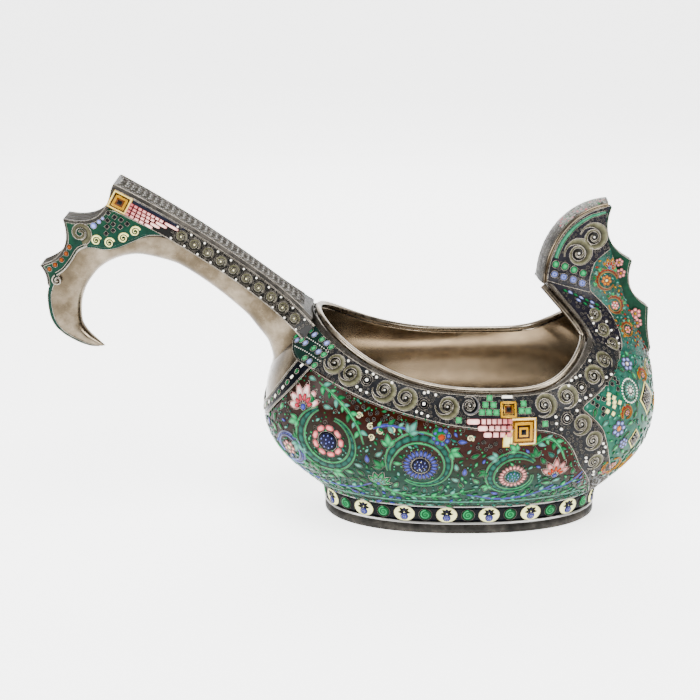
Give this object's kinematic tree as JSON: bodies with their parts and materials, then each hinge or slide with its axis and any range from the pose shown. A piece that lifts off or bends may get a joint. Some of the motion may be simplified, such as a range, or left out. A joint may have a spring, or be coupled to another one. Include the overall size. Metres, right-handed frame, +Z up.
{
  "type": "kovsh drinking vessel",
  "caption": "Boat-shaped silver drinking vessel with a banded oval foot, a raised cusped prow, a sloping handle that ends in a hook, and enamel panels between wires.",
  "frame": {"origin": "on the table under the middle of the overall length, on the plane of symmetry", "axes": "+X towards the prow, +Y to the left side, +Z up"},
  "size_m": [0.303, 0.1172, 0.1693],
  "materials": {
    "silver": "polished silver, slightly worn",
    "dark_silver": "oxidised silver",
    "slate_enamel": "glossy enamel",
    "green_enamel": "glossy enamel",
    "teal_enamel": "glossy enamel",
    "night_enamel": "glossy enamel"
  },
  "bodies": {
    "root": {"bowl_shell": "silver", "rim_bead": "silver", "foot_base_moulding": "dark_silver", "foot_band": "dark_silver", "foot_low_wire": "dark_silver", "foot_top_wire": "dark_silver", "foot_enamel": "night_enamel", "prow_cheek_left": "silver", "prow_cheek_right": "silver", "head_enamel_left": "slate_enamel", "head_enamel_right": "slate_enamel", "prow_blade": "teal_enamel", "prow_crown": "dark_silver", "collar_enamel_left": "slate_enamel", "collar_enamel_right": "slate_enamel", "side_enamel_left": "green_enamel", "side_enamel_right": "green_enamel", "front_enamel_left": "teal_enamel", "front_enamel_right": "teal_enamel", "diagonal_band_left": "night_enamel", "diagonal_band_right": "night_enamel", "handle_top_plate": "dark_silver", "handle_side_band_left": "slate_enamel", "handle_side_band_right": "slate_enamel", "handle_channel": "silver", "hook_horn": "silver", "hook_tip": "silver", "hook_cheek_left": "green_enamel", "hook_cheek_right": "green_enamel", "hook_crest": "silver", "horn_back_strip": "green_enamel"}
  },
  "joints": []
}
